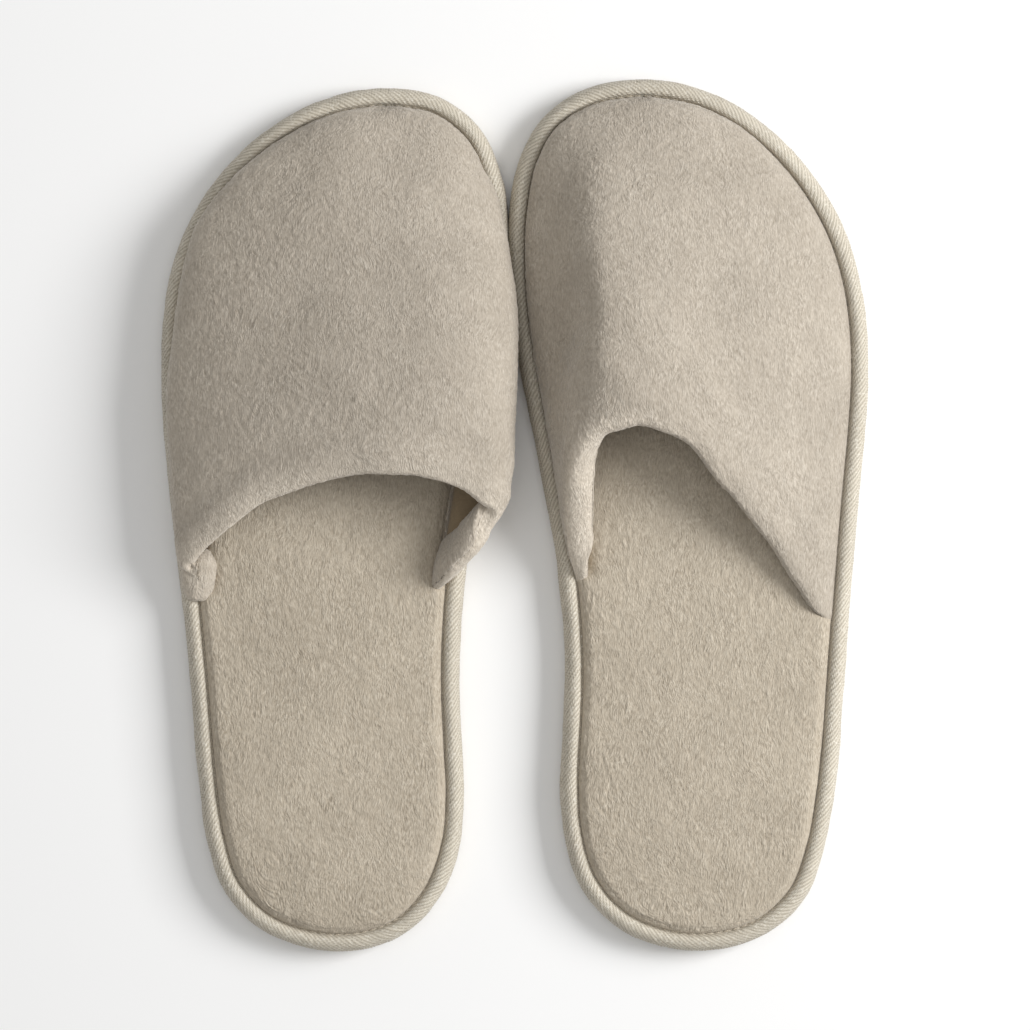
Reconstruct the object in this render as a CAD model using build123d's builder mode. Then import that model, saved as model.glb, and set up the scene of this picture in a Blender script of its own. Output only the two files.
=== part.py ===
"""A pair of closed-toe, open-back plush spa slippers, lying side by side with
their toes to +Y. Millimetres, +Z up, origin at the bottom centre of the pair.
Each slipper is a layered sole, a padded plush upper whose edges run under a
folded binding tape, and the threads of its seams."""
from build123d import *
import math
import os

os.makedirs("parts", exist_ok=True)

# ---------------------------------------------------------------- dimensions
OUTSOLE_T = 5.0            # foamed non-slip outsole
OUTSOLE_REBATE = 1.3       # step in the outsole under the tape's lower leg
TREAD_DEPTH = 0.6          # depth of the closed tread recesses
TREAD_PITCH = 13.0
TREAD_BAR = (8.0, 3.2)     # length and width of one recess
BACKING_T = 0.7            # non-woven board
TAPE_W = 6.3               # width of the tape's legs over the sole
TAPE_WALL = 1.1            # thickness of the folded tape
TAPE_Z0, TAPE_Z1 = 0.3, 9.6
CHANNEL_Z0, CHANNEL_Z1 = 1.3, 8.7
SEAM_INSET = 5.65          # line of the binding seam
THREAD_W = 0.5
UPPER_COVER_T = 1.5
UPPER_PAD_T = 1.6
UPPER_LINING_T = 0.45
LAYER_GAP = 0.35
FACING_W = 11.5            # turned-in plush band at the mouth
RIM_T = 1.6                # thickness of the rolled rim along the foot

# Sole outlines: the tape's outer edge, clockwise seen from below
LEFT_OUTLINE = [(-40.0, 140.2), (-56.9, 138.3), (-72.7, 132.1), (-86.7, 122.4), (-98.3, 109.9), (-107.2, 95.4), (-113.0, 79.4), (-115.7, 62.6), (-116.1, 45.6), (-115.3, 28.6), (-113.8, 11.6), (-111.9, -5.3), (-109.9, -22.3), (-108.0, -39.2), (-106.4, -56.2), (-105.1, -73.2), (-103.5, -90.1), (-101.0, -107.0), (-95.7, -123.1), (-84.5, -135.8), (-68.9, -142.4), (-52.0, -143.4), (-36.0, -138.0), (-24.4, -125.7), (-18.3, -109.8), (-16.7, -92.9), (-17.4, -75.9), (-18.2, -58.8), (-18.0, -41.8), (-16.8, -24.8), (-14.7, -7.9), (-11.9, 8.9), (-8.9, 25.7), (-6.0, 42.5), (-3.6, 59.4), (-2.2, 76.4), (-2.1, 93.4), (-4.0, 110.3), (-10.6, 125.9), (-23.5, 136.8)]
RIGHT_OUTLINE = [(41.8, 143.2), (24.8, 140.4), (10.3, 131.2), (1.9, 116.3), (-1.2, 99.3), (-1.5, 82.0), (-0.1, 64.8), (2.5, 47.7), (5.7, 30.7), (9.1, 13.8), (12.3, -3.2), (14.9, -20.3), (16.6, -37.5), (17.1, -54.8), (16.4, -72.0), (15.6, -89.3), (16.9, -106.5), (22.3, -122.8), (33.8, -135.6), (49.6, -142.4), (66.7, -143.2), (83.1, -138.0), (95.6, -126.4), (101.9, -110.4), (105.1, -93.4), (107.1, -76.2), (108.4, -59.0), (109.6, -41.7), (110.9, -24.5), (112.4, -7.3), (114.0, 10.0), (115.6, 27.2), (116.6, 44.4), (116.1, 61.7), (113.5, 78.8), (108.0, 95.1), (99.4, 110.1), (88.2, 123.2), (74.6, 133.8), (58.8, 140.8)]

# Per side: corner points of the mouth on the seam (medial/lateral by x), the
# stations of the upper from mouth to toe (y on the seam, lean of the section
# in degrees from the floor, rise over the tape), and three key arches as
# (share of the width, share of the rise).
TOE_ARCH = [(0, 0), (0, .15), (.02, .3), (.06, .5), (.13, .68), (.22, .82), (.33, .93), (.44, .985), (.56, 1), (.67, .95), (.78, .84), (.87, .69), (.94, .5), (.985, .28), (1, 0)]
SLIPPERS = {
    "left": dict(
        outline=LEFT_OUTLINE,
        corner_a=(-106.9, -24.9), corner_b=(-22.8, -22.3),
        stations=[(-23.6, 42, 32.5), (-2, 46, 33), (22, 51, 31.5), (48, 57, 28.5), (72, 64, 24.5), (92, 71, 20), (107, 78, 16), (118, 84, 12), (125, 88, 8.5), (129.5, 90, 5.0)],
        mouth_arch=[(0, 0), (-.025, .12), (-.015, .27), (.055, .44), (.19, .63), (.38, .81), (.59, .95), (.79, 1), (.95, .96), (1.08, .865), (1.165, .72), (1.195, .54), (1.165, .36), (1.09, .18), (1, 0)],
        middle_arch=[(0, 0), (-.012, .13), (.01, .28), (.065, .43), (.15, .57), (.27, .7), (.41, .81), (.56, .91), (.71, .975), (.85, .99), (.97, .93), (1.06, .79), (1.1, .57), (1.08, .29), (1, 0)],
        toe_x=-40.0,
    ),
    "right": dict(
        outline=RIGHT_OUTLINE,
        corner_a=(23.4, -19.0), corner_b=(102.6, -32.2),
        stations=[(-25.6, 35, 34), (-4, 40, 34), (22, 46, 31.5), (48, 53, 28), (72, 61, 24), (94, 69, 19.5), (110, 77, 15.5), (121, 84, 12), (128, 88, 8.5), (132.5, 90, 5.0)],
        mouth_arch=[(0, 0), (-.02, .13), (-.03, .33), (-.01, .6), (.045, .83), (.14, .97), (.27, .99), (.4, .91), (.51, .775), (.62, .615), (.72, .47), (.82, .34), (.9, .23), (.965, .125), (1, 0)],
        middle_arch=[(0, 0), (-.01, .13), (.005, .27), (.04, .4), (.08, .55), (.125, .72), (.18, .88), (.25, .975), (.34, .97), (.45, .89), (.57, .76), (.7, .6), (.83, .41), (.94, .2), (1, 0)],
        toe_x=43.0,
    ),
}
ARCH_Z0 = 9.9              # the arch starts its rise just over the tape
STUB_Z0 = 6.6              # and runs straight down from there into the tape
SEAM_WALL = 6.9            # inset of the arch's outer face at the seam


# ------------------------------------------------------- geometry by formula
def catmull(points, closed, step):
    """Points along a smooth curve through the given ones."""
    n = len(points)
    out = []
    for i in range(n if closed else n - 1):
        if closed:
            p0, p1, p2, p3 = (points[(i + k) % n] for k in (-1, 0, 1, 2))
        else:
            p0, p1, p2, p3 = points[max(i - 1, 0)], points[i], points[i + 1], points[min(i + 2, n - 1)]
        for j in range(step):
            t = j / step
            out.append(tuple(
                .5 * (2 * p1[c] + (p2[c] - p0[c]) * t + (2 * p0[c] - 5 * p1[c] + 4 * p2[c] - p3[c]) * t * t
                      + (3 * p1[c] - p0[c] - 3 * p2[c] + p3[c]) * t ** 3) for c in range(2)))
    if not closed:
        out.append(tuple(points[-1]))
    return out


def inset(outline, d):
    """The outline's points moved inwards by d (the outlines run clockwise
    seen from below, so inwards is to the left of the way along them)."""
    n = len(outline)
    out = []
    for i in range(n):
        ax, ay = outline[i - 1]
        bx, by = outline[(i + 1) % n]
        tx, ty = bx - ax, by - ay
        k = math.hypot(tx, ty)
        out.append((outline[i][0] - ty / k * d, outline[i][1] + tx / k * d))
    return out


def crossings(outline, d, origin, slope):
    """x of the two points where the inset outline meets a line in plan."""
    pts = catmull(inset(outline, d), True, 8)
    xs = []
    for i in range(len(pts)):
        (ax, ay), (bx, by) = pts[i - 1], pts[i]
        fa = ay - origin[1] - slope * (ax - origin[0])
        fb = by - origin[1] - slope * (bx - origin[0])
        if fa * fb <= 0 and fa != fb:
            xs.append(ax + (bx - ax) * fa / (fa - fb))
    return min(xs), max(xs)


def smooth(t):
    t = min(max(t, 0), 1)
    return t * t * (3 - 2 * t)


def between(table, y, column):
    """Value of a column of the station table at seam position y."""
    if y <= table[0][0]:
        return table[0][column]
    for a, b in zip(table, table[1:]):
        if y <= b[0]:
            return a[column] + (b[column] - a[column]) * (y - a[0]) / (b[0] - a[0])
    return table[-1][column]


def station(s, y):
    """The leaning plane of one section of the upper, with what it needs."""
    (ax, ay), (bx, by) = s["corner_a"], s["corner_b"]
    table = s["stations"]
    share = (y - table[0][0]) / (table[-1][0] - table[0][0])
    slope = (by - ay) / (bx - ax) * (1 - smooth(share * 1.6))
    lean = math.radians(between(table, y, 1))
    origin = ((ax + bx) / 2 * (1 - smooth(share)) + s["toe_x"] * smooth(share), y)
    return origin, slope, lean, between(table, y, 2), share


def arch(s, y, count=23):
    """The upper's outer face at a station, as samples closer together where
    it bends: (x, z, inward x, inward z, share of full layer depth, shares of
    the two ends). The first and last lie on the seam."""
    origin, slope, lean, rise, share = station(s, y)
    x0, x1 = crossings(s["outline"], SEAM_WALL, origin, slope)
    k = smooth(share / .42)
    m = smooth((share - .5) / .5)
    pts = [(x0, 8.3)]
    for p, q, r in zip(s["mouth_arch"], s["middle_arch"], TOE_ARCH):
        a = [p[c] + (q[c] - p[c]) * k for c in (0, 1)]
        a = [a[c] + (r[c] - a[c]) * m for c in (0, 1)]
        pts.append((x0 + (x1 - x0) * a[0], ARCH_Z0 + rise * a[1]))
    pts += [(x1, 8.3)]
    fine = catmull(pts, False, 12)
    heading = [math.atan2(b[1] - a[1], b[0] - a[0]) for a, b in zip(fine, fine[1:])]
    run, weight = [0.0], [0.0]
    for i in range(len(fine) - 1):
        ds = math.hypot(fine[i + 1][0] - fine[i][0], fine[i + 1][1] - fine[i][1])
        turn = heading[i] - heading[i - 1] if i else 0
        turn = abs((turn + math.pi) % (2 * math.pi) - math.pi)
        run.append(run[-1] + ds)
        weight.append(weight[-1] + ds + 2.5 * turn)
    picks = []
    j = 0
    for i in range(count):
        w = weight[-1] * i / (count - 1)
        while j < len(weight) - 2 and weight[j + 1] < w:
            j += 1
        f = (w - weight[j]) / max(weight[j + 1] - weight[j], 1e-9)
        picks.append((fine[j][0] + (fine[j + 1][0] - fine[j][0]) * f,
                      fine[j][1] + (fine[j + 1][1] - fine[j][1]) * f, run[j] + (run[j + 1] - run[j]) * f))
    normals = []
    for i, (x, z, r) in enumerate(picks):
        a, b = picks[max(i - 1, 0)], picks[min(i + 1, count - 1)]
        w = math.hypot(b[0] - a[0], b[1] - a[1])
        normals.append((1, 0) if i == 0 else (-1, 0) if i == count - 1 else ((b[1] - a[1]) / w, -(b[0] - a[0]) / w))
    out = []
    for i, (x, z, r) in enumerate(picks):
        near = min(r, run[-1] - r)
        depth = (.45 + .55 * smooth((near - 5) / 20)) * (1 - .35 * smooth((share - .8) / .2))
        # the layers leave the seam side by side and level
        k = smooth((near - .8) / 4)
        nx = (1 if i < count / 2 else -1) * (1 - k) + normals[i][0] * k
        nz = normals[i][1] * k
        w = math.hypot(nx, nz)
        out.append((x, z, nx / w, nz / w, depth, 1 - smooth(r / 9), 1 - smooth((run[-1] - r) / 9)))
    return out


def layer(s, y, d, z0):
    """Points of a face d inside the outer one, down to z0 at the seam."""
    origin, slope, lean, rise, share = station(s, y)
    samples = arch(s, y)
    # At the seam the layers follow the sole's edge, whatever way it runs.
    e0, e1 = crossings(s["outline"], SEAM_WALL + d * samples[0][4], origin, slope)
    c0 = e0 - samples[0][0] - d * samples[0][4]
    c1 = e1 - samples[-1][0] + d * samples[-1][4]
    out = [(x + nx * d * f + c0 * w0 + c1 * w1, z + nz * d * f) for x, z, nx, nz, f, w0, w1 in samples]
    out[0] = (out[0][0], z0)
    out[-1] = (out[-1][0], z0)
    return out


def section(s, y, outer, inner, z0):
    """The closed profile of one layer at a station, as a sketch on its own
    leaning plane: outer and inner are depths under the upper's outer face."""
    origin, slope, lean, rise, share = station(s, y)
    k = math.hypot(1, slope)
    x_dir = (1 / k, slope / k, 0)
    up = (-slope / k * math.cos(lean), 1 / k * math.cos(lean), math.sin(lean))
    normal = (x_dir[1] * up[2] - x_dir[2] * up[1], x_dir[2] * up[0] - x_dir[0] * up[2], x_dir[0] * up[1] - x_dir[1] * up[0])
    plane = Plane(origin=(origin[0], origin[1], 8.2), x_dir=x_dir, z_dir=normal)

    def local(p):
        return ((p[0] - origin[0]) * k, (p[1] - 8.2) / math.sin(lean))

    a = [local(p) for p in layer(s, y, outer, z0)]
    b = [local(p) for p in reversed(layer(s, y, inner, z0))] if inner is not None else []
    if z0 > 10:
        a, b = a[3:-3], b[3:-3]
    with BuildSketch(plane) as profile:
        with BuildLine() as wire:
            Spline(*a)
            if inner is None:
                Line(a[-1], a[0])
            else:
                Line(a[-1], b[0])
                Spline(*b)
                Line(b[-1], a[0])
        make_face(wire.edges())
    return profile.sketch


def face_of(points):
    """Adds a face inside a closed smooth outline to the open BuildSketch."""
    with BuildLine() as wire:
        Spline(*points, periodic=True)
    make_face(wire.edges())


def half_plane(s, shift, forward):
    """Keeps of the open BuildSketch what is on one side of the mouth line."""
    (ax, ay), (bx, by) = s["corner_a"], s["corner_b"]
    slope = (by - ay) / (bx - ax)
    xs = (ax - 60, bx + 60)
    ys = [ay + slope * (x - ax) + shift for x in xs]
    far = 260 if forward else -260
    with BuildLine() as wire:
        Polyline((xs[0], ys[0]), (xs[1], ys[1]), (xs[1], far), (xs[0], far), close=True)
    make_face(wire.edges(), mode=Mode.INTERSECT)


def save(part, name):
    part.label = name
    export_step(part, f"parts/{name}.step")


# ------------------------------------------------------------------ the pair
for side, s in SLIPPERS.items():
    edge = s["outline"]
    y0 = s["stations"][0][0]
    y1 = s["stations"][-1][0]
    layers_y = [y0, y0 + FACING_W / 2, y0 + FACING_W] + [t[0] for t in s["stations"][1:]]

    with BuildPart() as outsole:
        with BuildSketch(Plane.XY.offset(1.45)):
            face_of(inset(edge, 1.4))
        extrude(amount=4.6 - 1.45)
        with BuildSketch(Plane.XY):
            face_of(inset(edge, TAPE_W + .3))
        extrude(amount=4.6)
        inner = catmull(inset(edge, 15), True, 4)
        spots = []
        for i in range(-9, 10):
            for j in range(-9, 10):
                x = s["toe_x"] * 1.5 + j * 17 + (8.5 if i % 2 else 0)
                y = i * 15
                # a recess only where it clears the edge all round
                gap = min(math.hypot(x - px, y - py) for px, py in inner)
                wind = 0
                for (px, py), (qx, qy) in zip(inner, inner[1:] + inner[:1]):
                    if (py > y) != (qy > y) and x < (qx - px) * (y - py) / (qy - py) + px:
                        wind += 1
                if wind % 2 and gap > 4:
                    spots.append((x, y))
        with BuildSketch(Plane.XY):
            with Locations(*spots):
                SlotOverall(*TREAD_BAR)
        extrude(amount=TREAD_DEPTH, mode=Mode.SUBTRACT)
    save(outsole.part, f"{side}_outsole")

    with BuildPart() as insole_backing:
        with BuildSketch(Plane.XY.offset(4.7)):
            face_of(inset(edge, 1.6))
        extrude(amount=BACKING_T)
    save(insole_backing.part, f"{side}_insole_backing")

    with BuildPart() as insole_padding:
        with BuildSketch(Plane.XY.offset(5.5)):
            face_of(inset(edge, 1.6))
        extrude(amount=.4)
        with BuildSketch(Plane.XY.offset(5.5)):
            face_of(inset(edge, 8.2))
            half_plane(s, -2.6, False)
        extrude(amount=3.1)
        with BuildSketch(Plane.XY.offset(5.5)):
            face_of(inset(edge, 14.0))
        extrude(amount=3.1)
    save(insole_padding.part, f"{side}_insole_padding")

    with BuildPart() as insole_cover:
        with BuildSketch(Plane.XY.offset(6.0)):
            face_of(inset(edge, 1.6))
        extrude(amount=.5)
        with BuildSketch(Plane.XY.offset(6.0)):
            face_of(inset(edge, 1.6))
            half_plane(s, -1.2, False)
        extrude(amount=2.5)
        with BuildSketch(Plane.XY.offset(6.0)):
            face_of(inset(edge, 6.8))
            half_plane(s, -1.2, False)
        extrude(amount=4.8)
        with BuildSketch(Plane.XY.offset(6.0)):
            face_of(inset(edge, 12.6))
        extrude(amount=4.8)
        # hollow over the padding
        with BuildSketch(Plane.XY.offset(5.9)):
            face_of(inset(edge, 8.0))
            half_plane(s, -2.4, False)
        extrude(amount=2.85, mode=Mode.SUBTRACT)
        with BuildSketch(Plane.XY.offset(5.9)):
            face_of(inset(edge, 13.8))
        extrude(amount=2.85, mode=Mode.SUBTRACT)
    save(insole_cover.part, f"{side}_insole_cover")

    with BuildPart() as upper_cover:
        loft([section(s, y, 0, UPPER_COVER_T, 8.2) for y in layers_y])
        # closed toe
        with BuildSketch(Plane(origin=(s["toe_x"], y1 + 2.9, 8.2), x_dir=(1, 0, 0), z_dir=(0, -1, 0)), mode=Mode.PRIVATE) as toe_tip:
            with BuildLine():
                w = 4.0
                Spline((-w, 0), (-w, .8), (-w * .6, 1.9), (0, 2.3), (w * .6, 1.9), (w, .8), (w, 0))
                Line((w, 0), (-w, 0))
            make_face()
        loft([section(s, y1 - .6, .1, None, 8.2), toe_tip.sketch])
        # the rolled rim of the mouth
        loft([section(s, y, .25, 6.1, 8.2) for y in (y0 + .02, y0 + RIM_T)])
        # the facing, turned in and sewn down inside
        loft([section(s, y, 4.95, 5.75, 8.3) for y in (y0 + .6, y0 + FACING_W / 2, y0 + FACING_W)])
        # the edge that is sewn under the tape
        with BuildSketch(Plane.XY.offset(7.9)):
            face_of(inset(edge, 1.6))
            with BuildLine():
                Spline(*inset(edge, 7.3), periodic=True)
            make_face(mode=Mode.SUBTRACT)
            half_plane(s, 0, True)
        extrude(amount=.7)
    save(upper_cover.part, f"{side}_upper_cover")

    with BuildPart() as upper_padding:
        top = UPPER_COVER_T + LAYER_GAP
        loft([section(s, y, top, top + UPPER_PAD_T, 7.3) for y in [y0 + RIM_T + .2] + layers_y[1:-1] + [y1 - .3]])
        with BuildSketch(Plane.XY.offset(7.1)):
            face_of(inset(edge, 1.6))
            with BuildLine():
                Spline(*inset(edge, 7.9), periodic=True)
            make_face(mode=Mode.SUBTRACT)
            half_plane(s, 0, True)
        extrude(amount=.7)
        # it lies against the cover and never inside it
        add(upper_cover.part, mode=Mode.SUBTRACT)
        add(upper_padding.solids().sort_by(SortBy.VOLUME)[-1], mode=Mode.REPLACE)
    save(upper_padding.part, f"{side}_upper_padding")

    with BuildPart() as upper_lining:
        top = UPPER_COVER_T + UPPER_PAD_T + 2 * LAYER_GAP + .2
        loft([section(s, y, top, top + UPPER_LINING_T, 6.7) for y in [y0 + RIM_T + .2] + layers_y[1:-1] + [y1 - .3]])
        with BuildSketch(Plane.XY.offset(6.6)):
            face_of(inset(edge, 1.6))
            with BuildLine():
                Spline(*inset(edge, 10.0), periodic=True)
            make_face(mode=Mode.SUBTRACT)
            half_plane(s, 0, True)
        extrude(amount=.4)
    save(upper_lining.part, f"{side}_upper_lining")

    with BuildPart() as binding_tape:
        with BuildSketch(Plane.XY.offset(TAPE_Z0)):
            face_of(edge)
            with BuildLine():
                Spline(*inset(edge, TAPE_W), periodic=True)
            make_face(mode=Mode.SUBTRACT)
        extrude(amount=TAPE_Z1 - TAPE_Z0)
        outer_edges = binding_tape.edges().filter_by(GeomType.BSPLINE).sort_by(SortBy.LENGTH)[-2:]
        fillet(outer_edges.sort_by(Axis.Z)[-1], 2.6)
        fillet(binding_tape.edges().filter_by(GeomType.BSPLINE).group_by(Axis.Z)[0].sort_by(SortBy.LENGTH)[-1], 1.2)
        with BuildSketch(Plane.XY.offset(CHANNEL_Z0)):
            face_of(inset(edge, TAPE_WALL))
        extrude(amount=CHANNEL_Z1 - CHANNEL_Z0, mode=Mode.SUBTRACT)
    save(binding_tape.part, f"{side}_binding_tape")

    with BuildPart() as binding_needle_thread:
        with BuildSketch(Plane.XY.offset(TAPE_Z1 + .02)):
            face_of(inset(edge, SEAM_INSET - THREAD_W / 2))
            with BuildLine():
                Spline(*inset(edge, SEAM_INSET + THREAD_W / 2), periodic=True)
            make_face(mode=Mode.SUBTRACT)
        extrude(amount=.28)
    save(binding_needle_thread.part, f"{side}_binding_needle_thread")

    with BuildPart() as binding_bobbin_thread:
        with BuildSketch(Plane.XY.offset(.08)):
            face_of(inset(edge, SEAM_INSET - THREAD_W / 2))
            with BuildLine():
                Spline(*inset(edge, SEAM_INSET + THREAD_W / 2), periodic=True)
            make_face(mode=Mode.SUBTRACT)
        extrude(amount=.2)
    save(binding_bobbin_thread.part, f"{side}_binding_bobbin_thread")

    with BuildPart() as facing_thread:
        loft([section(s, y, 5.95, 6.25, 14.0) for y in (y0 + FACING_W - 1.6, y0 + FACING_W - 1.1)])
        add(upper_cover.part, mode=Mode.SUBTRACT)
        add(upper_lining.part, mode=Mode.SUBTRACT)
        add(facing_thread.solids().sort_by(SortBy.VOLUME)[-1], mode=Mode.REPLACE)
    save(facing_thread.part, f"{side}_facing_thread")
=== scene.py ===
import bpy
import math
import numpy as np
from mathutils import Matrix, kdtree


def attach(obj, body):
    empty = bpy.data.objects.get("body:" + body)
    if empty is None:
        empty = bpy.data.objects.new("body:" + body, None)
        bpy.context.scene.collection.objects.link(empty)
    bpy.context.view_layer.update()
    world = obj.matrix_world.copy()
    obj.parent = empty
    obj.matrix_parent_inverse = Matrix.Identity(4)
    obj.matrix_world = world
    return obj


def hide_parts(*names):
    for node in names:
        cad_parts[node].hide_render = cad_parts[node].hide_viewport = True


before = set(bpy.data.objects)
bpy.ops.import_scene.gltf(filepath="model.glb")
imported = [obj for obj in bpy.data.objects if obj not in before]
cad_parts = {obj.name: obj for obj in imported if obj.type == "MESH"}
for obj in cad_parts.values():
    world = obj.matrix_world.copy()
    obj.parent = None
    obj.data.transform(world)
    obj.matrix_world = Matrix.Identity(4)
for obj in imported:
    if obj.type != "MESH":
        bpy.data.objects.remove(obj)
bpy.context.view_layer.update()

SIDES = ("left", "right")

# ------------------------------------------------------------------ outlines
# Sole outlines in millimetres: the binding tape's outer edge, the same as in
# the design, counter-clockwise seen from above.
OUTLINE = {
    "left": [(-40.0, 140.2), (-56.9, 138.3), (-72.7, 132.1), (-86.7, 122.4), (-98.3, 109.9), (-107.2, 95.4), (-113.0, 79.4), (-115.7, 62.6), (-116.1, 45.6), (-115.3, 28.6), (-113.8, 11.6), (-111.9, -5.3), (-109.9, -22.3), (-108.0, -39.2), (-106.4, -56.2), (-105.1, -73.2), (-103.5, -90.1), (-101.0, -107.0), (-95.7, -123.1), (-84.5, -135.8), (-68.9, -142.4), (-52.0, -143.4), (-36.0, -138.0), (-24.4, -125.7), (-18.3, -109.8), (-16.7, -92.9), (-17.4, -75.9), (-18.2, -58.8), (-18.0, -41.8), (-16.8, -24.8), (-14.7, -7.9), (-11.9, 8.9), (-8.9, 25.7), (-6.0, 42.5), (-3.6, 59.4), (-2.2, 76.4), (-2.1, 93.4), (-4.0, 110.3), (-10.6, 125.9), (-23.5, 136.8)],
    "right": [(41.8, 143.2), (24.8, 140.4), (10.3, 131.2), (1.9, 116.3), (-1.2, 99.3), (-1.5, 82.0), (-0.1, 64.8), (2.5, 47.7), (5.7, 30.7), (9.1, 13.8), (12.3, -3.2), (14.9, -20.3), (16.6, -37.5), (17.1, -54.8), (16.4, -72.0), (15.6, -89.3), (16.9, -106.5), (22.3, -122.8), (33.8, -135.6), (49.6, -142.4), (66.7, -143.2), (83.1, -138.0), (95.6, -126.4), (101.9, -110.4), (105.1, -93.4), (107.1, -76.2), (108.4, -59.0), (109.6, -41.7), (110.9, -24.5), (112.4, -7.3), (114.0, 10.0), (115.6, 27.2), (116.6, 44.4), (116.1, 61.7), (113.5, 78.8), (108.0, 95.1), (99.4, 110.1), (88.2, 123.2), (74.6, 133.8), (58.8, 140.8)],
}


def catmull(pts, closed, step):
    p = np.asarray(pts, float)
    n = len(p)
    t = (np.arange(step) / step)[None, :, None]
    if closed:
        p0, p1, p2, p3 = (np.roll(p, k, 0)[:, None] for k in (1, 0, -1, -2))
    else:
        i = np.arange(n - 1)
        p0, p1, p2, p3 = (p[j][:, None] for j in (np.maximum(i - 1, 0), i, i + 1, np.minimum(i + 2, n - 1)))
    out = .5 * (2 * p1 + (p2 - p0) * t + (2 * p0 - 5 * p1 + 4 * p2 - p3) * t ** 2 + (3 * p1 - p0 - 3 * p2 + p3) * t ** 3)
    out = out.reshape(-1, p.shape[1])
    return out if closed else np.vstack([out, p[-1:]])


def length_along(p):
    return np.concatenate([[0], np.cumsum(np.linalg.norm(np.diff(p, axis=0), axis=1))])


def outline(side, count, inset=0.0):
    """Evenly spaced points along a side's outline, moved inwards."""
    q = catmull(OUTLINE[side], True, 24)
    q = np.vstack([q, q[:1]])
    s = length_along(q)
    at = np.linspace(0, s[-1], count + 1)[:-1]
    p = np.stack([np.interp(at, s, q[:, c]) for c in (0, 1)], 1)
    t = np.roll(p, -2, 0) - np.roll(p, 2, 0)
    t /= np.linalg.norm(t, axis=1)[:, None]
    n = np.stack([-t[:, 1], t[:, 0]], 1)
    return p + n * inset, t, n, at, s[-1]


EDGE = {}
for side in SIDES:
    p = outline(side, 1400)[0]
    tree = kdtree.KDTree(len(p))
    for i, (x, y) in enumerate(p):
        tree.insert((x, y, 0), i)
    tree.balance()
    EDGE[side] = (p, tree)


def inside_by(side, xy):
    """How far each point is from the sole's edge, in plan."""
    tree = EDGE[side][1]
    return np.array([tree.find((x, y, 0))[2] for x, y in xy])


def spans(side, inset, ys):
    """Left and right x of the inset outline at each y."""
    q = outline(side, 3000, inset)[0]
    top, low = int(np.argmax(q[:, 1])), int(np.argmin(q[:, 1]))
    q = np.roll(q, -top, 0)
    low = (low - top) % len(q)
    a, b = q[:low + 1], np.vstack([q[low:], q[:1]])
    xl = np.interp(-ys, -a[:, 1], a[:, 0])
    xr = np.interp(ys, b[:, 1], b[:, 0])
    return xl, xr, q[0], q[low]


# --------------------------------------------------------------------- noise
def _hash(ix, iy, iz, seed):
    h = (ix * 374761393 + iy * 668265263 + iz * 2147483647 + seed * 1274126177) & 0xFFFFFFFF
    h = ((h ^ (h >> 13)) * 1274126177) & 0xFFFFFFFF
    h = (h ^ (h >> 16)) & 0xFFFFFFFF
    return h / 4294967295.0 * 2 - 1


def noise(p, seed=0):
    """Smooth value noise, about -1 to 1, on an array of points."""
    i = np.floor(p).astype(np.int64)
    f = p - i
    f = f * f * f * (f * (f * 6 - 15) + 10)
    out = 0
    for dx in (0, 1):
        for dy in (0, 1):
            for dz in (0, 1):
                w = (f[:, 0] if dx else 1 - f[:, 0]) * (f[:, 1] if dy else 1 - f[:, 1]) * (f[:, 2] if dz else 1 - f[:, 2])
                out = out + w * _hash(i[:, 0] + dx, i[:, 1] + dy, i[:, 2] + dz, seed)
    return out


def fractal(p, octaves, seed=0, gain=.5):
    out, a = 0, 1
    for k in range(octaves):
        out = out + a * noise(p * 2 ** k + 17.3 * k, seed + k)
        a *= gain
    return out


def tufts(p, seed):
    """Height of plush pile, about -1 to 1: short strands lying in patches
    that lean in different directions."""
    warp = np.stack([noise(p / 9 + 3, seed + 5), noise(p / 9 + 31, seed + 6), noise(p / 9 + 57, seed + 7)], 1)
    q = p + warp * 2.2
    ang = noise(p / 16 + 11, seed + 8) * 1.1
    ax, ay = np.cos(ang), np.sin(ang)
    along = q[:, 0] * ax + q[:, 1] * ay
    across = -q[:, 0] * ay + q[:, 1] * ax
    a = noise(np.stack([across / .62, along / 1.9, q[:, 2] / 1.1], 1), seed)
    b = noise(np.stack([across / .95, along / 2.6, q[:, 2] / 1.3], 1) + 40, seed + 1)
    c = noise(q / 1.5 + 9, seed + 2)
    return .5 * a + .35 * b + .35 * c


# -------------------------------------------------------------------- meshes
def grid_faces(rows, cols, wrap_cols=False, wrap_rows=False, flip=False, start=0):
    r = np.arange(rows if wrap_rows else rows - 1)
    c = np.arange(cols if wrap_cols else cols - 1)
    R, C = np.meshgrid(r, c, indexing="ij")
    R2, C2 = (R + 1) % rows, (C + 1) % cols
    f = np.stack([R * cols + C, R * cols + C2, R2 * cols + C2, R2 * cols + C], -1).reshape(-1, 4) + start
    return f[:, ::-1] if flip else f


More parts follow.
